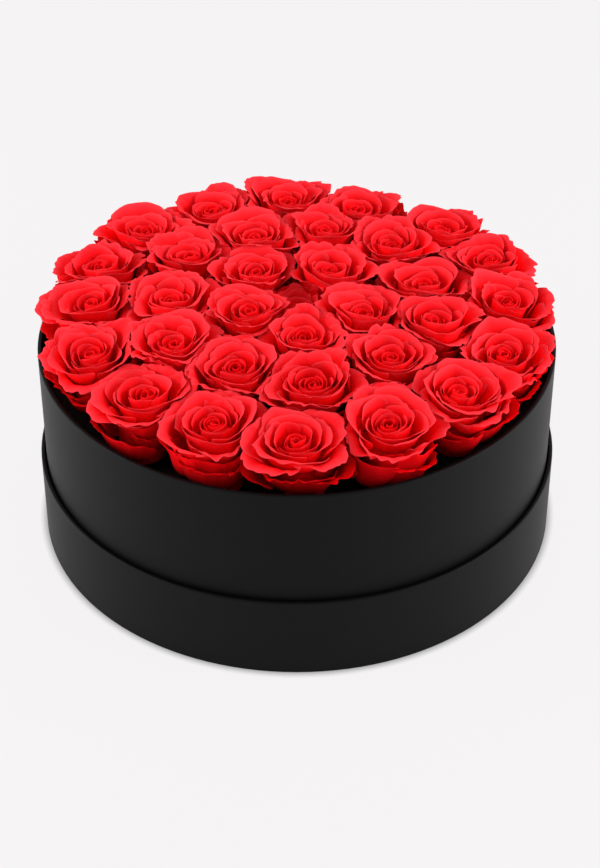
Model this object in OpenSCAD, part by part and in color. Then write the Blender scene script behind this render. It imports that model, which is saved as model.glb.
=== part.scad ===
// Round flower box: a paper-covered board drum that stands in its own upturned lid,
// with a block of foam inside that holds three rings of preserved roses and one in the middle.
// Millimetres, +Z up. The origin is the centre of the face that rests on the table.

/* [Drum] */
// Outside diameter of the drum, over its paper
drum_d = 300; // [280:1:340]
// Height of the drum, from its underside to its rim
drum_h = 121.1; // [112:0.1:150]

/* [Lid] */
// Height of the lid, which lies upturned under the drum
lid_h = 51.3; // [30:0.1:80]
// Gap all round between the drum and the lid
lid_fit = 0.6; // [0.4:0.1:1.5]

/* [Board and paper] */
// Thickness of the rolled board in the two walls
wall_board = 2; // [1.5:0.1:3]
// Thickness of the flat board in the two discs
disc_board = 2; // [1.5:0.1:3]
// Thickness of the covering and lining papers
paper_t = 0.3; // [0.2:0.05:0.5]
// Radius on the edges of the board at a rim
rim_round = 0.6; // [0.3:0.1:0.7]
// Width of the covering paper that is turned down inside a rim
rim_turn = 15; // [8:1:25]
// Width of the covering paper that is turned in over a disc
disc_turn = 10; // [6:1:20]
// Distance of a face paper's edge from the outside of the box
face_margin = 1.5; // [1:0.5:4]

/* [Foam] */
// Depth of the foam's top below the rim
foam_drop = 28.2; // [20:0.2:40]
// Gap all round between the foam and the lining
foam_fit = 0.5; // [0.3:0.1:2]
// Chamfer on the foam's upper edge
foam_chamfer = 4; // [2:0.5:8]

/* [Rose rings] */
// Roses in the outer ring
outer_roses = 16; // [12:1:20]
// Roses in the middle ring
middle_roses = 11; // [8:1:13]
// Roses in the inner ring, round the centre rose
inner_roses = 5; // [4:1:6]
// Least gap between two roses, and between a rose and the wall
head_gap = 1; // [0.6:0.1:3]
// Height of the outer roses' widest level above the rim
outer_rise = 10.5; // [6:0.5:16]
// Height of the middle roses' widest level above the rim
middle_rise = 17; // [12:0.5:24]
// Height of the inner roses' widest level above the rim
inner_rise = 19; // [14:0.5:26]
// Height of the centre rose's widest level above the rim
centre_rise = 17; // [12:0.5:26]
// Outward lean of the outer roses, in degrees, which fades to none at the centre
lean_angle = 11; // [4:0.5:14]
// Direction of the first outer rose, in degrees
outer_angle = 271; // [0:1:359]
// Direction of the first middle rose, in degrees
middle_angle = 277; // [0:1:359]
// Direction of the first inner rose, in degrees
inner_angle = 272; // [0:1:359]

/* [Rose head] */
// Petals of one rose
petals = 10; // [6:1:12]
// Thickness of a petal
petal_t = 0.7; // [0.5:0.05:0.9]
// Arc of one petal round the rose, in degrees
petal_arc = 150; // [120:1:170]
// Slope of a petal's edge, from its middle down to its ends, in degrees
petal_slope = 24; // [12:1:32]
// Diameter of the innermost petal of the bud
bud_d = 7; // [5.5:0.5:9]
// Height of the bud's tip above the rose's widest level
bud_rise = 9; // [6:0.5:12]
// Height of the outer petals' edge above the rose's widest level
edge_rise = 3.5; // [2:0.5:6]
// Depth of the head below its widest level
head_depth = 27; // [22:0.5:30]
// Diameter of the head at its foot
foot_d = 18; // [14:0.5:20]

/* [Rose stem] */
// Diameter of the stem
stem_d = 5; // [3:0.5:7]
// Depth of the stem in the foam
stem_depth = 30; // [15:1:45]
// Gap all round between the stem and its hole
stem_fit = 0.1; // [0.05:0.05:0.3]
// Diameter of the hip under the head
hip_d = 14; // [10:0.5:16]
// Height of the hip
hip_h = 9; // [6:0.5:11]

/* [Hidden] */
$fn = 96;
golden_angle = 137.508;
// Depth of the innermost petal as a share of the head's depth
bud_depth_share = 0.45;
// Below 1 the outer petals lie closer together than those of the bud
petal_crowding = 0.75;
// Radii along a petal as shares of its half width, and its foot's as a share of the head's foot,
// for the bud and for the outermost petal
petal_foot = [0.1, 0.8];
petal_belly = [1, 0.78];
petal_waist = [1, 0.95];
petal_edge = [0.62, 1];
// Levels of the belly and the waist as shares of a petal's depth, for the same two
belly_level = [0.67, 0.67];
waist_level = [0.1, 0.25];
// Height of the head's straight foot as a share of its depth
foot_share = 0.1;
// Levels at which the hip starts to narrow and is halfway to the stem, as shares of its height
hip_shoulder = 0.33;
hip_half = 0.8;

drum_r = drum_d / 2;
drum_inside_r = drum_r - 2 * paper_t - wall_board;
lid_inside_r = drum_r + lid_fit;
lid_r = lid_inside_r + 2 * paper_t + wall_board;
// A face paper and the turned-in covering paper lie under a disc, and a floor paper on it
disc_z = 2 * paper_t;
floor_t = disc_z + disc_board + paper_t;
drum_z = floor_t;
rim_z = drum_z + drum_h;
foam_z = drum_z + floor_t;
foam_top = rim_z - foam_drop;
foam_r = drum_inside_r - foam_fit;

// A ring of n roses that lie side by side, a gap apart, just inside a circle of radius room_r
function ring_radius(n, room_r) = (room_r - head_gap / 2) / (1 + sin(180 / n));
function ring_rose_d(n, r) = 2 * r * sin(180 / n) - head_gap;

// Each ring fills the room that the ring outside it leaves
outer_ring_r = ring_radius(outer_roses, drum_inside_r);
outer_rose_d = ring_rose_d(outer_roses, outer_ring_r);
middle_ring_r = ring_radius(middle_roses, outer_ring_r - outer_rose_d / 2);
middle_rose_d = ring_rose_d(middle_roses, middle_ring_r);
inner_ring_r = ring_radius(inner_roses, middle_ring_r - middle_rose_d / 2);
inner_rose_d = ring_rose_d(inner_roses, inner_ring_r);
centre_rose_d = 2 * (inner_ring_r - head_gap) - inner_rose_d;

// The places of a ring's roses: ring radius, direction, height of the widest level, diameter
function ring(n, r, d, rise, angle) = [for (i = [0 : n - 1]) [r, angle + i * 360 / n, rim_z + rise, d]];

outer_ring = ring(outer_roses, outer_ring_r, outer_rose_d, outer_rise, outer_angle);
middle_ring = ring(middle_roses, middle_ring_r, middle_rose_d, middle_rise, middle_angle);
inner_ring = ring(inner_roses, inner_ring_r, inner_rose_d, inner_rise, inner_angle);
centre = [[0, 0, rim_z + centre_rise, centre_rose_d]];
heart = concat(inner_ring, centre);
all_roses = concat(outer_ring, middle_ring, heart);

function two_digits(n) = n < 10 ? str("0", n) : str(n);
function rose_names(ring, name) = [for (i = [1 : len(ring)]) str(name, "_rose_", two_digits(i))];

all_names = concat(
    rose_names(outer_ring, "outer"),
    rose_names(middle_ring, "middle"),
    rose_names(inner_ring, "inner"),
    ["centre_rose"]
);

// Values between a and b, or between the two of a pair, as t goes from 0 to 1
function mix(a, b, t) = a + (b - a) * t;
function along(pair, t) = mix(pair[0], pair[1], t);

// Lean of a rose on a ring of radius r
function lean(r) = lean_angle * r / outer_ring_r;

// Section of a standing wall, with both upper corners rounded
module wall_section(r_in, r_out, z_low, z_high, round) {
    translate([r_in, z_low]) square([r_out - r_in, z_high - round - z_low]);
    translate([r_in + round, z_low]) square([r_out - r_in - 2 * round, z_high - z_low]);
    for (r = [r_in + round, r_out - round])
        translate([r, z_high - round]) circle(r = round);
}

// Board ring of a round box of outside radius r and height h
module board_wall(r, h) {
    rotate_extrude()
        wall_section(r - paper_t - wall_board, r - paper_t, disc_z, h - paper_t, rim_round);
}

// Covering paper of a round box: turned in over the disc, up the outside, over the rim and down inside
module wrap_paper(r, h) {
    board_in = r - paper_t - wall_board;
    rotate_extrude() {
        translate([r - disc_turn, paper_t]) square([disc_turn, paper_t]);
        difference() {
            wall_section(board_in - paper_t, r, paper_t, h, rim_round + paper_t);
            wall_section(board_in, r - paper_t, 0, h - paper_t, rim_round);
            translate([board_in - 2 * paper_t, 0]) square([2 * paper_t, h - rim_turn]);
        }
    }
}

// Board disc that closes a round box
module board_disc(r) {
    translate([0, 0, disc_z]) cylinder(r = r - paper_t - wall_board, h = disc_board);
}

// Paper disc glued over the outside of a board disc, which steps out over the turned-in covering paper
module face_paper(r) {
    step_r = r - disc_turn;
    edge_r = r - face_margin;
    rotate_extrude()
        polygon([
            [0, paper_t],
            [step_r - paper_t, paper_t],
            [step_r - paper_t, 0],
            [edge_r, 0],
            [edge_r, paper_t],
            [step_r, paper_t],
            [step_r, disc_z],
            [0, disc_z]
        ]);
}

// Paper disc on the floor of a round box
module floor_paper(r) {
    translate([0, 0, floor_t - paper_t]) cylinder(r = r - paper_t - wall_board, h = paper_t);
}

// Lining strip of a round box, from the floor paper up to the turned-down covering paper
module lining_paper(r, h) {
    rotate_extrude()
        translate([r - 2 * paper_t - wall_board, floor_t]) square([paper_t, h - rim_turn - floor_t]);
}

// Puts its children at a rose's place, with the rose's axis as Z and its widest level at zero
module at_rose(spot) {
    rotate([0, 0, spot[1]])
        translate([spot[0], 0, spot[2]])
            rotate([0, lean(spot[0]), 0])
                children();
}

// Depth below a rose's widest level, along its axis, at which its stem ends
function stem_end(spot) = (spot[2] - foam_top + stem_depth) / cos(lean(spot[0]));

// Middle line of a petal's section, as radius and height at its foot, belly, waist and edge.
// t runs from 0 at the bud to 1 at the outermost petal of a rose of diameter d.
function petal_line(d, t) = let (
    wide = mix(bud_d, d - petal_t, pow(t, petal_crowding)) / 2,
    low = -mix(bud_depth_share, 1, t) * head_depth
) [
    [along(petal_foot, t) * foot_d / 2, low],
    [along(petal_belly, t) * wide, along(belly_level, t) * low],
    [along(petal_waist, t) * wide, along(waist_level, t) * low],
    [along(petal_edge, t) * wide, mix(bud_rise, edge_rise, t)]
];

// One cupped petal: an arc of a turned shell, cut off by a slope that falls from its middle to its ends
module petal(d, t) {
    line = petal_line(d, t);
    tip = line[len(line) - 1];
    half = [petal_t / 2, 0];
    block = 2 * (d + head_depth);
    intersection() {
        rotate([0, 0, -petal_arc / 2])
            rotate_extrude(angle = petal_arc)
                polygon([
                    for (p = line) p + half,
                    for (i = [len(line) - 1 : -1 : 0]) line[i] - half
                ]);
        translate([tip[0], 0, tip[1]])
            rotate([0, -petal_slope, 0])
                translate([0, 0, -block / 2]) cube(block, center = true);
    }
}

// Head of a rose of diameter d: petals that wind outwards by the golden angle, on one core
module rose_head(d) {
    core_top = bud_rise / 2;
    core_r = bud_d / 6;
    color("crimson") {
        rotate_extrude()
            polygon([
                [0, -head_depth],
                [foot_d / 2, -head_depth],
                [foot_d / 2, (foot_share - 1) * head_depth],
                [core_r, core_top],
                [0, core_top]
            ]);
        for (k = [0 : petals - 1])
            rotate([0, 0, k * golden_angle]) petal(d, k / (petals - 1));
    }
}

// Hip and stem of a rose, from the head's foot down into the foam, with a gap round them
module stem_shape(spot, gap = 0) {
    hip_r = hip_d / 2 + gap;
    stem_r = stem_d / 2 + gap;
    hip_low = -head_depth - hip_h;
    rotate_extrude()
        polygon([
            [0, -head_depth],
            [hip_r, -head_depth],
            [hip_r, mix(-head_depth, hip_low, hip_shoulder)],
            [(hip_r + stem_r) / 2, mix(-head_depth, hip_low, hip_half)],
            [stem_r, hip_low],
            [stem_r, -stem_end(spot)],
            [0, -stem_end(spot)]
        ]);
}

module rose_stems(ring) {
    color("olivedrab")
        for (spot = ring) at_rose(spot) stem_shape(spot);
}

// Foam block with a pocket for each stem
module floral_foam() {
    color("darkolivegreen")
        difference() {
            rotate_extrude()
                polygon([
                    [0, foam_z],
                    [foam_r, foam_z],
                    [foam_r, foam_top - foam_chamfer],
                    [foam_r - foam_chamfer, foam_top],
                    [0, foam_top]
                ]);
            for (spot = all_roses) at_rose(spot) stem_shape(spot, stem_fit);
        }
}

module lid_face_paper() { color("#1d1d20") face_paper(lid_r); }
module lid_disc() { color("tan") board_disc(lid_r); }
module lid_wall() { color("tan") board_wall(lid_r, lid_h); }
module lid_wrap() { color("#1d1d20") wrap_paper(lid_r, lid_h); }
module lid_lining() { color("#141416") lining_paper(lid_r, lid_h); }
module lid_floor_paper() { color("#141416") floor_paper(lid_r); }

module on_lid_floor() { translate([0, 0, drum_z]) children(); }

module drum_base_paper() { color("#1d1d20") on_lid_floor() face_paper(drum_r); }
module drum_base() { color("tan") on_lid_floor() board_disc(drum_r); }
module drum_wall() { color("tan") on_lid_floor() board_wall(drum_r, drum_h); }
module drum_wrap() { color("#1d1d20") on_lid_floor() wrap_paper(drum_r, drum_h); }
module drum_lining() { color("#141416") on_lid_floor() lining_paper(drum_r, drum_h); }
module drum_floor_paper() { color("#141416") on_lid_floor() floor_paper(drum_r); }

lid_face_paper();
lid_disc();
lid_wall();
lid_wrap();
lid_lining();
lid_floor_paper();
drum_base_paper();
drum_base();
drum_wall();
drum_wrap();
drum_lining();
drum_floor_paper();
floral_foam();
rose_stems(outer_ring);  // outer_stems
rose_stems(middle_ring);  // middle_stems
rose_stems(heart);  // heart_stems
for (i = [0 : len(all_names) - 1])
    at_rose(all_roses[i])
            rotate([0, 0, i * golden_angle]) rose_head(all_roses[i][3]);
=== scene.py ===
import math
import random

import bmesh
import bpy
from mathutils import Matrix, Vector, noise


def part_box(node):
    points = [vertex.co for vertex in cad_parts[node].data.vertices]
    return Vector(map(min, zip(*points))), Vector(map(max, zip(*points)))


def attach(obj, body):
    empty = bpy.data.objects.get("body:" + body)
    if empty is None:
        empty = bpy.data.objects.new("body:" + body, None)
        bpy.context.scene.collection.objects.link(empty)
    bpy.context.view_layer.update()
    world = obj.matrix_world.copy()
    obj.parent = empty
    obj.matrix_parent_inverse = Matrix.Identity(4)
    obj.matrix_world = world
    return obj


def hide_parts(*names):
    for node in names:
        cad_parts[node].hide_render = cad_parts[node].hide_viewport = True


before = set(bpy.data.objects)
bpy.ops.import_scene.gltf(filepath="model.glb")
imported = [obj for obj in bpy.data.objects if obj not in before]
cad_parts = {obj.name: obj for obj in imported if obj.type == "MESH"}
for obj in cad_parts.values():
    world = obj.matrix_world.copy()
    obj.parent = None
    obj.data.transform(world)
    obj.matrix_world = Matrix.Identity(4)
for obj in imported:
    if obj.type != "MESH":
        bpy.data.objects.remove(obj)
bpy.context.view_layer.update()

# Greyboard: the discs and the rolled walls of the drum and its lid, of recycled pulp pressed into sheets.
# Each disc is glued into its wall, and the papers cover all of it, so the board shows only in a cut.

mm = 0.001


def linear(hex_colour):
    """Linear RGBA of an sRGB hex colour."""
    shares = [int(hex_colour[i:i + 2], 16) / 255 for i in (0, 2, 4)]
    return [s / 12.92 if s <= 0.04045 else ((s + 0.055) / 1.055) ** 2.4 for s in shares] + [1]


def add(owner, kind, inputs=None, **settings):
    """Adds a node to a material or the world, with its settings, and links or sets the inputs given."""
    tree = owner.node_tree
    made = tree.nodes.new(kind)
    for name, value in settings.items():
        setattr(made, name, value)
    for name, value in (inputs or {}).items():
        if isinstance(value, bpy.types.NodeSocket):
            tree.links.new(value, made.inputs[name])
        else:
            made.inputs[name].default_value = value
    return made


def new_material(name):
    """A material whose only node is its output."""
    material = bpy.data.materials.new(name)
    material.use_nodes = True
    shader = material.node_tree.nodes["Principled BSDF"]
    material.node_tree.nodes.remove(shader)
    return material


def set_surface(owner, shader, output="Material Output"):
    """Links the shader to the output of a material or the world."""
    tree = owner.node_tree
    tree.links.new(shader.outputs[0], tree.nodes[output].inputs["Surface"])


def dress(material, *nodes):
    """Gives CAD nodes that keep their own shape this material."""
    for name in nodes:
        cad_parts[name].data.materials.clear()
        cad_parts[name].data.materials.append(material)


# Pressed pulp looks dull and warm grey, with small flecks and no gloss
greyboard = new_material("greyboard")
fleck = 1.5 * mm
coords = add(greyboard, "ShaderNodeTexCoord")
flecks = add(greyboard, "ShaderNodeTexNoise",
             {"Vector": coords.outputs["Object"], "Scale": 1 / fleck, "Detail": 3})
pulp = add(greyboard, "ShaderNodeValToRGB", {"Fac": flecks.outputs["Fac"]})
pulp.color_ramp.elements[0].color = linear("7d756a")
pulp.color_ramp.elements[1].color = linear("a59b8c")
set_surface(greyboard, add(greyboard, "ShaderNodeBsdfPrincipled",
                           {"Base Color": pulp.outputs["Color"], "Roughness": 0.9}))
dress(greyboard, "lid_disc", "lid_wall", "drum_base", "drum_wall")

# Black paper: dyed through and varnished matt. A strip is glued round each wall and turned in at its top and
# foot, a disc covers the outside of the lid and of the base, and the same paper lines the insides.

# The varnish gives a soft grey sheen towards the sides and no clear reflection. The paper's own grain is
# finer than this, and is drawn as coarse as it needs to show.
cover_paper = new_material("matt_black_paper")
grain_size = 1.2 * mm
grain_depth = 0.2 * mm
coords = add(cover_paper, "ShaderNodeTexCoord")
grain = add(cover_paper, "ShaderNodeTexNoise",
            {"Vector": coords.outputs["Object"], "Scale": 1 / grain_size, "Detail": 4})
ink = add(cover_paper, "ShaderNodeValToRGB", {"Fac": grain.outputs["Fac"]})
ink.color_ramp.elements[0].color = linear("060606")
ink.color_ramp.elements[1].color = linear("0a0a0b")
tooth = add(cover_paper, "ShaderNodeBump",
            {"Height": grain.outputs["Fac"], "Strength": 0.15, "Distance": grain_depth})
set_surface(cover_paper, add(cover_paper, "ShaderNodeBsdfPrincipled",
                             {"Base Color": ink.outputs["Color"], "Roughness": 0.5,
                              "Specular IOR Level": 0.076, "Normal": tooth.outputs["Normal"]}))
dress(cover_paper, "lid_face_paper", "lid_wrap", "lid_lining", "lid_floor_paper",
      "drum_base_paper", "drum_wrap", "drum_lining", "drum_floor_paper")

# Paper laps: each wall's covering paper is one strip that goes round and ends over its own start.
# The end is glued flat at the back, and shows as one fine upright step.

# Width of the lap, height of its step, bare height above and below it, depth of its foot in the wall, and
# the cuts that let it follow the wall's curve
lap_w = 12
lap_step = 0.3
lap_margin = 1.5
lap_sunk = 0.1
lap_cuts = 7


def new_piece(name, work, material):
    """An object at the origin, made of this bmesh in this material."""
    mesh = bpy.data.meshes.new(name)
    work.to_mesh(mesh)
    work.free()
    mesh.materials.append(material)
    piece = bpy.data.objects.new(name, mesh)
    bpy.context.collection.objects.link(piece)
    return piece


def paper_lap(name, wrap, body):
    """The lapped end of a wall's paper: it rises from the wall to a step, at the back."""
    low, high = (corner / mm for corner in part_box(wrap))
    wall_r = (high.x - low.x) / 2
    work = bmesh.new()
    bmesh.ops.create_cube(work, size=1)
    round_edges = [e for e in work.edges if abs(e.verts[0].co.x - e.verts[1].co.x) > 0.5]
    bmesh.ops.subdivide_edges(work, edges=round_edges, cuts=lap_cuts, use_grid_fill=True)
    for p in work.verts:
        along = p.co.x + 0.5
        r = wall_r + lap_step * along if p.co.y > 0 else wall_r - lap_sunk
        a = math.pi / 2 + p.co.x * lap_w / wall_r
        z = (low.z + high.z) / 2 + p.co.z * (high.z - low.z - 2 * lap_margin)
        p.co = Vector((r * math.cos(a), r * math.sin(a), z)) * mm
    bmesh.ops.recalc_face_normals(work, faces=work.faces)
    lap = new_piece(name, work, cover_paper)
    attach(lap, body)


paper_lap("lid_wrap_lap", "lid_wrap", "lid")
paper_lap("drum_wrap_lap", "drum_wrap", "box")

# Floral foam: a block of brittle, open-celled foam that is cut round to fill the drum.
# It stands on the drum's floor, and the stems are pushed into it.

# The block is a dull green that is nearly black, with a pattern of cells. Real cells are finer, and these are
# drawn as coarse as they need to show.
foam = new_material("floral_foam")
cell_size = 0.8 * mm
cell_depth = 0.4 * mm
coords = add(foam, "ShaderNodeTexCoord")
cells = add(foam, "ShaderNodeTexVoronoi", {"Vector": coords.outputs["Object"], "Scale": 1 / cell_size})
green = add(foam, "ShaderNodeValToRGB", {"Fac": cells.outputs["Distance"]})
green.color_ramp.elements[0].color = linear("10150f")
green.color_ramp.elements[1].color = linear("1b231a")
pits = add(foam, "ShaderNodeBump", {"Height": cells.outputs["Distance"], "Distance": cell_depth})
set_surface(foam, add(foam, "ShaderNodeBsdfPrincipled",
                      {"Base Color": green.outputs["Color"], "Roughness": 0.95,
                       "Normal": pits.outputs["Normal"]}))
dress(foam, "floral_foam")

# Stems: the roses' own green stems, each with the swollen hip that carries the petals.
# They are cut short and pushed into the holes in the foam.

# A preserved stem looks mottled and dark green, with a slight waxy gloss
stem = new_material("rose_stem")
mottle = 1.5 * mm
coords = add(stem, "ShaderNodeTexCoord")
mottles = add(stem, "ShaderNodeTexNoise", {"Vector": coords.outputs["Object"], "Scale": 1 / mottle})
bark = add(stem, "ShaderNodeValToRGB", {"Fac": mottles.outputs["Fac"]})
bark.color_ramp.elements[0].color = linear("1a2410")
bark.color_ramp.elements[1].color = linear("33431c")
set_surface(stem, add(stem, "ShaderNodeBsdfPrincipled",
                      {"Base Color": bark.outputs["Color"], "Roughness": 0.6}))
dress(stem, "outer_stems", "middle_stems", "heart_stems")

# Roses: preserved heads of red petals that wind out from a tight bud, pressed together in the drum.
# Each petal is a thin curled sheet with a rolled and ragged edge, and stands on the head's closed core.
# The lowest petals of each head spread out and fill the gaps between the heads.

# Sizes here are in millimetres and slopes in degrees. The whorls go from the bud outwards, for a rose of the
# full radius. Each has its count of petals, and then, for its first and its last petal, the radius of the
# shoulder, the height of the edge, the slope of the wall, the slope of the edge, the level where the edge
# starts to roll, the half width and the length.
full_rose_r = 24
whorls = (
    (4, (2.2, 5.4), (-2.8, -2.0), (101, 94), (112, 90), (0.90, 0.84), (5.5, 10), (9, 13)),
    (4, (7, 11.5), (-1.4, 0.8), (91, 86), (80, 56), (0.82, 0.76), (14, 18), (15, 19)),
    (5, (13.5, 19.5), (2.2, 3.0), (82, 75), (46, 4), (0.74, 0.68), (20, 26), (22, 29)),
    (5, (21, 23.5), (1.6, -2), (77, 70), (-10, -50), (0.70, 0.66), (22, 23), (30, 32)),
    (7, (20, 24.5), (-4.5, -13), (84, 76), (46, -24), (0.76, 0.68), (20, 24), (33, 32)),
)
# Faces across and along a petal of each whorl
grids = ((8, 4), (12, 5), (16, 7), (24, 7), (22, 6))
# How pale the edge gets in each whorl, and how late along the petal that starts. The low values for the bud
# and the lowest whorl are painted shade, for petals that lie deep between the others and between the heads.
edge_tones_and_painted_shade = (0.78, 0.94, 1, 1, 0.2)
edge_powers_and_painted_shade = (1, 1, 1, 1, 2)
# Width along a petal, from its foot to its edge
petal_widths = ((0, 0.3), (0.3, 0.78), (0.6, 1), (0.82, 0.98), (0.93, 0.88), (1, 0.66))
petal_thick = 0.4
# Each petal stands this far round from the one before it
golden_turn = math.radians(137.5)
# Radius and height along the closed core that the petals' feet stand round
core_line = ((12.5, -38), (14.5, -29), (15.5, -18), (13, -12), (6, -10), (0, -10))
core_sides = 16
core_merge = 0.01
# Depth of the hip below the lip, where the core of a head that was moved still meets its own stem
hip_depth = 32
# A petal's profile is drawn in steps. Its foot leans out over the first part of its length, its edge rolls
# over slowly at first, and its shoulder lies near the edge.
line_steps = 24
foot_share = 0.42
foot_lean = 64
roll_power = 1.2
shoulder_level = 0.85
least_r = 0.15
# The sides of an outer petal end lower than its middle, roll over further and draw in
side_drop = 2.2
side_roll = 60
side_draw = 0.1
# The furthest that a petal wraps round the bud to each side
widest_arc = math.radians(155)
# How far one head opens more than another, its bud stands higher, and a whorl tilts on it
head_spread = 8
bud_spread = 1.2
whorl_tilt = 3.5
# How far petals differ from each other: shares of a size, millimetres, degrees, and radians for the turn
spread = {
    "shoulder": (0.91, 1.07), "height": (-1.1, 0.9), "wall": (-4, 4), "roll": (-16, 16),
    "width": (0.94, 1.12), "turn": (-0.15, 0.15), "point": (0.5, 1.4), "wave": (0.5, 1.3),
    "skew": (-0.3, 0.3), "slant": (-2.6, 2.6), "crease": (-0.3, 1),
}
# What changes from the bud to the outermost petals: how far the heights and the slants differ, the depth of
# the point in the edge and how blunt it is, the waves, the nicks, the ruffles outwards and upwards, the
# crease in the middle, and how far one side is tucked in under the next petal
height_share = (0.5, 1)
slant_share = (0.3, 1)
point_depth = (0.06, 0.3)
point_power = (2.8, 1.25)
wave_size = (0.45, 1.0)
nick_size = (0.1, 1.8)
ruffle_out = (0.6, 1.6)
ruffle_up = (0.1, 1.2)
crease_size = (0, 1.6)
tuck_share = (0.18, 0.1)
# How crinkled the smoothest and the roughest petals are, and what that adds to the ruffles
crinkle_size = (0.5, 1.7)
crinkle_ruffle = 0.9
crinkle_out = 3
# Bumps along an edge. The nicks have the length of a bump, the row of the noise that it takes, and the depth
# as a share of the petal, and the rest have their length.
nick_bumps = ((6, 0, 0.08), (3, 7, 0.1))
out_bump = 4
up_bump = 3
crinkle_bump = 2.5
# Width of the crease as a share of half the petal, and the waves up and out from its middle to its side
crease_w = 0.22
waves_up = 2.6
waves_out = 3.3
# A petal that runs out of room slides over its neighbour by this much at most
most_overlap = 6
# Below this height the petals stay inside the drum's lining
below_rim = 126
lining_r = 146.5


def mix(a, b, t):
    """The value between a and b, at the share t."""
    return a + (b - a) * t


def keyed(keys, t):
    """The value at t of a line through the keys."""
    for (t0, a), (t1, b) in zip(keys, keys[1:]):
        if t <= t1:
            return mix(a, b, (t - t0) / (t1 - t0))
    return keys[-1][1]


def petal_line(shoulder_r, top, wall, edge, length, roll_start):
    """Radius and height along a petal: it rises at the wall's slope, and rolls over to the edge's."""
    line = [(0.0, 0.0)]
    for i in range(line_steps):
        v = (i + 0.5) / line_steps
        foot = wall - foot_lean * max(0, foot_share - v) / foot_share
        roll = max(0, (v - roll_start) / (1 - roll_start)) ** roll_power
        slope = math.radians(mix(foot, edge, roll))
        r, z = line[-1]
        step = length / line_steps
        line.append((r + math.cos(slope) * step, z + math.sin(slope) * step))
    out = shoulder_r - line[int(line_steps * shoulder_level)][0]
    up = top - max(z for r, z in line)
    return [(max(least_r, r + out), z + up) for r, z in line]


def on_line(line, v):
    """Radius and height at the share v of a petal's profile."""
    x = min(max(v, 0), 1) * line_steps
    i = min(int(x), line_steps - 1)
    return mix(line[i][0], line[i + 1][0], x - i), mix(line[i][1], line[i + 1][1], x - i)


def ripple(along, bump, start, row, level):
    """Noise along a petal's edge in bumps of this length. The start, row and level pick its own stretch."""
    return noise.noise((along / bump + start, row, level))


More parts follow.
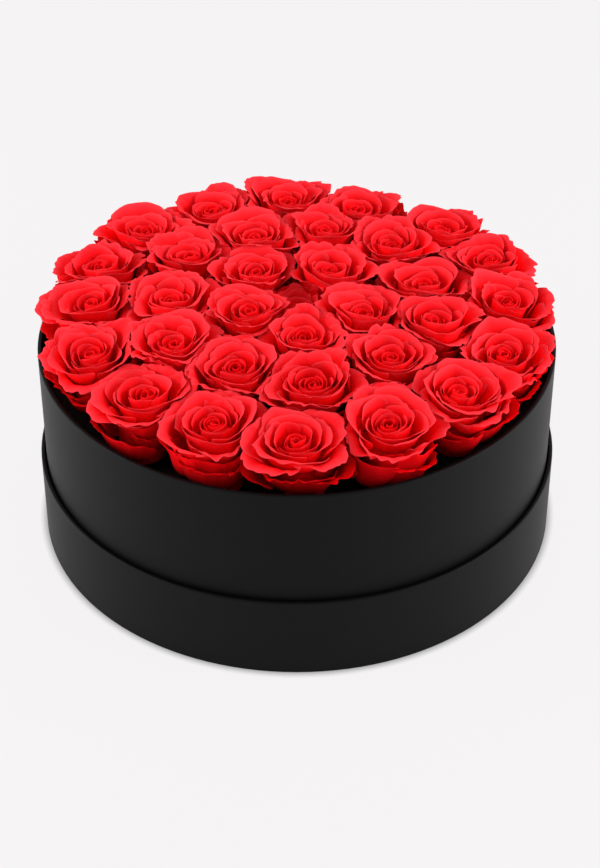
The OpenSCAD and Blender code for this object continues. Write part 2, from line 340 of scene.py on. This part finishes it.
def rose_head(place, shift, reach, seed):
    """The bmesh of one rose, from its matrix, its shift from the stem and its room in each direction."""
    rng = random.Random(seed)
    hand = rng.choice((-1, 1))
    work = bmesh.new()
    tone = work.verts.layers.float.new("tone")
    edge = work.verts.layers.float.new("edge")
    work.loops.layers.uv.new("petal")
    line = [work.verts.new((r, 0, z)) for r, z in core_line]
    line += [work.edges.new(pair) for pair in zip(line, line[1:])]
    bmesh.ops.spin(work, geom=line, axis=(0, 0, 1), angle=math.tau, steps=core_sides, use_merge=True)
    bmesh.ops.remove_doubles(work, verts=work.verts, dist=core_merge)
    to_stem = Matrix.Shear("XY", 4, shift / hip_depth)
    bmesh.ops.transform(work, matrix=Matrix.Scale(mm, 4) @ place @ to_stem, verts=work.verts)
    turn = rng.uniform(0, math.tau)
    opened = rng.uniform(-head_spread, head_spread)
    sunk = rng.uniform(-bud_spread, bud_spread)
    for w, (count, *ranges) in enumerate(whorls):
        sway = Matrix.Rotation(math.radians(rng.gauss(0, whorl_tilt)), 4, "X")
        sway @= Matrix.Rotation(math.radians(rng.gauss(0, whorl_tilt)), 4, "Y")
        across, along = grids[w]
        for k in range(count):
            radius, top, wall, roll, start, half, length = [mix(*pair, k / (count - 1)) for pair in ranges]
            out = radius / full_rose_r
            # The petal's profile in its middle and at its sides
            shoulder = radius * rng.uniform(*spread["shoulder"])
            top += rng.uniform(*spread["height"]) * mix(*height_share, out) + sunk * (1 - out)
            wall += rng.uniform(*spread["wall"]) - opened * out
            roll += rng.uniform(*spread["roll"]) * out - opened * out
            arc = min(half * rng.uniform(*spread["width"]) / radius, widest_arc)
            middle = petal_line(shoulder, top, wall, roll, length, start)
            side = petal_line(shoulder, top - side_drop * out, wall, roll - side_roll * out, length, start)
            # Its edge, and how it is curled
            turn += hand * golden_turn + rng.uniform(*spread["turn"])
            point = mix(*point_depth, out ** 2) * rng.uniform(*spread["point"])
            power = mix(*point_power, out ** 2)
            wave = mix(*wave_size, out) * rng.uniform(*spread["wave"])
            phase = rng.uniform(0, math.tau)
            swing = rng.uniform(0, math.tau)
            skew = rng.uniform(*spread["skew"]) * out
            tuck = mix(*tuck_share, out)
            slant = rng.uniform(*spread["slant"]) * mix(*slant_share, out)
            shade = rng.uniform(0, 1)
            ragged = rng.uniform(0, 100)
            crinkle = mix(*crinkle_size, shade) * out ** 3
            crease = mix(*crease_size, out ** 3) * rng.uniform(*spread["crease"])
            nicked = mix(*nick_size, out ** 1.5)
            ruffled_out = mix(*ruffle_out, out) + crinkle_ruffle * crinkle
            ruffled_up = mix(*ruffle_up, out) + crinkle
            for p in bmesh.ops.create_grid(work, x_segments=across, y_segments=along, size=1,
                                            calc_uvs=True)["verts"]:
                u = p.co.x
                up = (p.co.y + 1) / 2
                beside = u * half
                nick = sum(ripple(beside, bump, ragged, row, 0) * deep for bump, row, deep in nick_bumps)
                v = up * (1 - point * abs(u - skew) ** power + nick * nicked)
                r0, z0 = on_line(middle, v)
                r1, z1 = on_line(side, v)
                r = mix(r0, r1, u * u) * (1 + tuck * u * hand - side_draw * out * u ** 4)
                z = mix(z0, z1, u * u)
                # Waves, ruffles and the crease grow towards the edge
                lift = max(v, 0) ** 3
                z += wave * lift * math.sin(waves_up * u + phase) + slant * u * lift
                r += wave * lift * math.cos(waves_out * u + swing)
                r += ripple(beside, out_bump, ragged, 0, v * 2) * lift * ruffled_out
                z += ripple(beside, up_bump, ragged, 3, v * 2) * lift * ruffled_up
                r += ripple(beside, crinkle_bump, ragged, 5, v * 4) * lift * crinkle_out * crinkle
                r += crease * lift * math.exp(-((u - skew) / crease_w) ** 2)
                # The petal fills the room that its neighbours leave it
                a = turn + hand * u * arc * keyed(petal_widths, v)
                room = reach(a)
                r *= mix(1, room / full_rose_r, out ** 1.5)
                if r > room:
                    r = room + most_overlap * (1 - math.exp((room - r) / most_overlap))
                p[tone] = shade
                # Place on the petal's colour ramp: low at the foot as painted shade, and kept low on the bud
                # and the lowest whorl as painted shade
                p[edge] = edge_tones_and_painted_shade[w] * up ** edge_powers_and_painted_shade[w]
                q = place @ sway @ Vector((r * math.cos(a), r * math.sin(a), z))
                flat = q.to_2d().length
                if q.z < below_rim and flat > lining_r:
                    q.x *= lining_r / flat
                    q.y *= lining_r / flat
                p.co = q * mm
    bmesh.ops.recalc_face_normals(work, faces=work.faces)
    for face in work.faces:
        face.smooth = True
    return work


# A preserved petal looks soft and velvety, with fine veins along it and hardly any gloss. Its red is deep at
# the foot and paler at the edge. This is partly the petal's own colour, partly painted shade where the feet
# lie in shadow between the petals, and partly a painted sheen on the edges that stands in for their gloss.
# The veins are drawn as coarse as they need to show.
petal_red = new_material("preserved_petal")
vein_w = 1.4
vein_depth = 0.3 * mm
# Width of the petal that the UV map spans, and the veins' changes along it
petal_w = 40
veins_along = 2.5
tone = add(petal_red, "ShaderNodeAttribute", attribute_name="tone")
edge = add(petal_red, "ShaderNodeAttribute", attribute_name="edge")
# Colour from foot to edge: the dark foot is partly painted shade, and the pale pink edge partly a painted
# sheen
red_and_painted_light = add(petal_red, "ShaderNodeValToRGB", {"Fac": edge.outputs["Fac"]})
red_and_painted_light.color_ramp.elements[0].color = linear("b40007")
red_and_painted_light.color_ramp.elements[1].color = linear("ee323c")
red_and_painted_light.color_ramp.elements.new(0.4).color = linear("f40009")
red_and_painted_light.color_ramp.elements.new(0.62).color = linear("fc0811")
red_and_painted_light.color_ramp.elements.new(0.8).color = linear("fc1a24")
uv = add(petal_red, "ShaderNodeUVMap", uv_map="petal")
stretch = add(petal_red, "ShaderNodeMapping",
              {"Vector": uv.outputs["UV"], "Scale": (petal_w / vein_w, veins_along, 1)})
veins = add(petal_red, "ShaderNodeTexNoise", {"Vector": stretch.outputs["Vector"], "Scale": 1, "Detail": 3})
patchy = add(petal_red, "ShaderNodeMath", {0: tone.outputs["Fac"], 1: veins.outputs["Fac"]})
level = add(petal_red, "ShaderNodeMapRange",
            {"Value": patchy.outputs[0], "From Min": 0.3, "From Max": 1.7, "To Min": 0.89, "To Max": 1.02})
shaded = add(petal_red, "ShaderNodeHueSaturation",
             {"Color": red_and_painted_light.outputs["Color"], "Value": level.outputs["Result"]})
velvet = add(petal_red, "ShaderNodeBump",
             {"Height": veins.outputs["Fac"], "Strength": 0.25, "Distance": vein_depth})
set_surface(petal_red, add(petal_red, "ShaderNodeBsdfPrincipled",
                           {"Base Color": shaded.outputs["Color"], "Roughness": 0.75,
                            "Specular IOR Level": 0.06, "Normal": velvet.outputs["Normal"]}))

# How far each head stands from its place in the ring, to the right and to the back, as the florist set it
set_by_hand = {
    "outer": ((-4, -1), (2, 4), (0, 3), (3, 3), (-1, 8), (3, 2), (4, -1), (-6, -5),
              (-3, 0), (-5, -4), (-2, -2), (-3, -2), (5, 6), (-4, 6), (3, 6), (-1, 8)),
    "middle": ((-1, -5), (2, 6), (6, 3), (1, 2), (4, 3), (6, 2), (5, -5), (2, 5), (4, -1), (-3, -2), (-1, 5)),
    "inner": ((3, -2), (3, -6), (1, 0), (-2, -1), (5, 0)),
    "centre": ((3, 8),),
}
# Height of a head's lip above its CAD node, and depth of the middle head below the others
head_lift = 0.6
centre_sink = 9
# Share of the way to each neighbour that belongs to the middle head, which is squeezed by the others
centre_share = 0.38
# Lean of a head, in degrees: outwards by its distance from the middle, and a little to the front
outer_ring_r = 122.9
outer_lean = 5
front_lean = -0.5
lean_spread = 2
# How far a head stands off its place beyond what was set by hand, to the side and up
side_spread = 0.4
lift_spread = 1.0
# The draws for the heads' places start here, clear of those for their petals
first_place_seed = 100
# The room round a head ends at its neighbours, at the drum's wall and at the longest reach of a petal. The
# corners between these are rounded, less so for a greater sharpness.
wall_r = 149
most_reach = 31
sharpness = 14


def shift_of(node):
    """How far this rose was set from its place in the ring."""
    ring, number = node.split("_rose")
    return Vector(set_by_hand[ring][int(number.strip("_") or 1) - 1])


def rose_place(node):
    """Centre of a rose's lip, in millimetres: over its CAD node, where the florist set it."""
    low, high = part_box(node)
    middle = (low + high) / 2 / mm
    x, y = shift_of(node)
    sink = centre_sink if node == "centre_rose" else 0
    return Vector((middle.x + x, middle.y + y, high.z / mm + head_lift - sink))


rose_nodes = sorted(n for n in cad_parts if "rose" in n)
places = {node: rose_place(node) for node in rose_nodes}


def reach_from(node):
    """A function that gives the free length round this rose in a direction, in millimetres."""
    here = places[node].to_2d()
    others = []
    for name, at in places.items():
        # Heads meet half way, apart from the middle one
        share = 0.5
        if node == "centre_rose":
            share = centre_share
        elif name == "centre_rose":
            share = 1 - centre_share
        if name != node:
            others.append((at.to_2d() - here, share))

    def reach(a):
        """The free length at the angle a."""
        way = Vector((math.cos(a), math.sin(a)))
        crowd = most_reach ** -sharpness
        for other, share in others:
            facing = way.dot(other)
            if facing > 0:
                crowd += (other.length_squared * share / facing) ** -sharpness
        along = here.dot(way)
        wall = -along + math.sqrt(max(0, along * along + wall_r ** 2 - here.length_squared))
        return (crowd + wall ** -sharpness) ** (-1 / sharpness)
    return reach


for seed, node in enumerate(rose_nodes):
    at = places[node]
    rng = random.Random(first_place_seed + seed)
    lean = at.to_2d() * outer_lean / outer_ring_r
    lean += Vector((rng.gauss(0, lean_spread), front_lean + rng.gauss(0, lean_spread)))
    axis = Vector((-lean.y, lean.x, 0))
    at = at + Vector((rng.gauss(0, side_spread), rng.gauss(0, side_spread), rng.gauss(0, lift_spread)))
    place = Matrix.Translation(at) @ Matrix.Rotation(math.radians(lean.length), 4, axis)
    head = rose_head(place, shift_of(node), reach_from(node), seed)
    rose = new_piece(node + "_petals", head, petal_red)
    thick = rose.modifiers.new("thickness", "SOLIDIFY")
    thick.thickness = petal_thick * mm
    thick.offset = 0
    smooth = rose.modifiers.new("smooth", "SUBSURF")
    smooth.levels = 1
    smooth.render_levels = 1
    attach(rose, "box")
    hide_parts(node)

# Floor: a wide, pale, matt sheet that the box stands on, which isn't part of the object.
# It lies flat at the height of the lid's face, and runs out of sight on all sides.

# The camera sees an even pale ground, with a thin soft shade along the foot of the box, and the box's sheen
# mirrors it in part
pale_floor = new_material("pale_floor")
floor_colour = linear("f4f2f3")
foot_shade_w = 5 * mm
foot_shade_start = 0.45
# Shares of the even ground that the camera sees and that a reflection sees
even_share = 0.96
mirrored_share = 0.3
floor_half = 4
lit = add(pale_floor, "ShaderNodeBsdfPrincipled",
          {"Base Color": floor_colour, "Roughness": 0.9, "Specular IOR Level": 0.1})
nearness = add(pale_floor, "ShaderNodeAmbientOcclusion", {"Distance": foot_shade_w}, samples=8)
foot_shade = add(pale_floor, "ShaderNodeValToRGB", {"Fac": nearness.outputs["AO"]})
foot_shade.color_ramp.elements[0].position = foot_shade_start
foot_shade.color_ramp.elements[0].color = linear("a09fa0")
foot_shade.color_ramp.elements[1].color = floor_colour
even = add(pale_floor, "ShaderNodeEmission", {"Color": foot_shade.outputs["Color"], "Strength": 1})
ray = add(pale_floor, "ShaderNodeLightPath")
mirrored = add(pale_floor, "ShaderNodeMath",
               {0: ray.outputs["Is Glossy Ray"], 1: ray.outputs["Is Transmission Ray"]}, operation="MAXIMUM")
in_part = add(pale_floor, "ShaderNodeMath", {0: mirrored.outputs[0], 1: mirrored_share}, operation="MULTIPLY")
seen = add(pale_floor, "ShaderNodeMath",
           {0: ray.outputs["Is Camera Ray"], 1: in_part.outputs[0]}, operation="MAXIMUM")
share = add(pale_floor, "ShaderNodeMath", {0: seen.outputs[0], 1: even_share}, operation="MULTIPLY")
set_surface(pale_floor, add(pale_floor, "ShaderNodeMixShader",
                            {0: share.outputs[0], 1: lit.outputs["BSDF"], 2: even.outputs["Emission"]}))
work = bmesh.new()
bmesh.ops.create_grid(work, x_segments=1, y_segments=1, size=floor_half)
floor = new_piece("floor", work, pale_floor)

# Light: an even white room, a large soft lamp above, and a soft panel on either side of the box.
# The panels stand low, and draw the grey sheen down the left and the right of the black walls.
# Where the camera looks past the floor, it sees the floor's own colour.

room_level = 0.88
world = bpy.data.worlds.new("room")
bpy.context.scene.world = world
world.use_nodes = True
room_light = world.node_tree.nodes["Background"]
room_light.inputs["Color"].default_value = linear("ffffff")
room_light.inputs["Strength"].default_value = room_level
backdrop = add(world, "ShaderNodeBackground", {"Color": floor_colour, "Strength": 1})
ray = add(world, "ShaderNodeLightPath")
set_surface(world, add(world, "ShaderNodeMixShader",
                       {0: ray.outputs["Is Camera Ray"], 1: room_light.outputs["Background"],
                        2: backdrop.outputs["Background"]}), "World Output")


def lamp(name, at, aim, size, power):
    """A round soft lamp, in metres and watts, that faces the point it is aimed at."""
    light = bpy.data.lights.new(name, "AREA")
    light.shape = "DISK"
    light.size = size
    light.energy = power
    made = bpy.data.objects.new(name, light)
    bpy.context.collection.objects.link(made)
    made.location = at
    made.rotation_euler = (Vector(aim) - Vector(at)).to_track_quat("-Z", "Y").to_euler()


lamp("key_light", at=(-0.1, -0.2, 1.7), aim=(0, 0, 0.1), size=1.2, power=0.6)
lamp("left_panel", at=(-1.05, -0.15, 0.44), aim=(-0.15, 0, 0), size=0.8, power=11)
lamp("right_panel", at=(1.05, -0.15, 0.44), aim=(0.15, 0, 0), size=0.8, power=12)

# Camera: a long lens in front of the box, which looks down at it.
# Its place, its slope and its lens were fitted to the two rims, the lid and the foot of the box.

aim = Vector((0.00183, 0, 0.05067))
distance = 1.2562
look_down = math.radians(37.41)
camera = bpy.data.objects.new("camera", bpy.data.cameras.new("camera"))
bpy.context.collection.objects.link(camera)
camera.data.lens = 86.5
camera.data.sensor_width = 36
camera.location = aim + distance * Vector((0, -math.cos(look_down), math.sin(look_down)))
camera.rotation_euler = (math.pi / 2 - look_down, 0, 0)
bpy.context.scene.camera = camera
bpy.context.scene.view_settings.view_transform = "Standard"
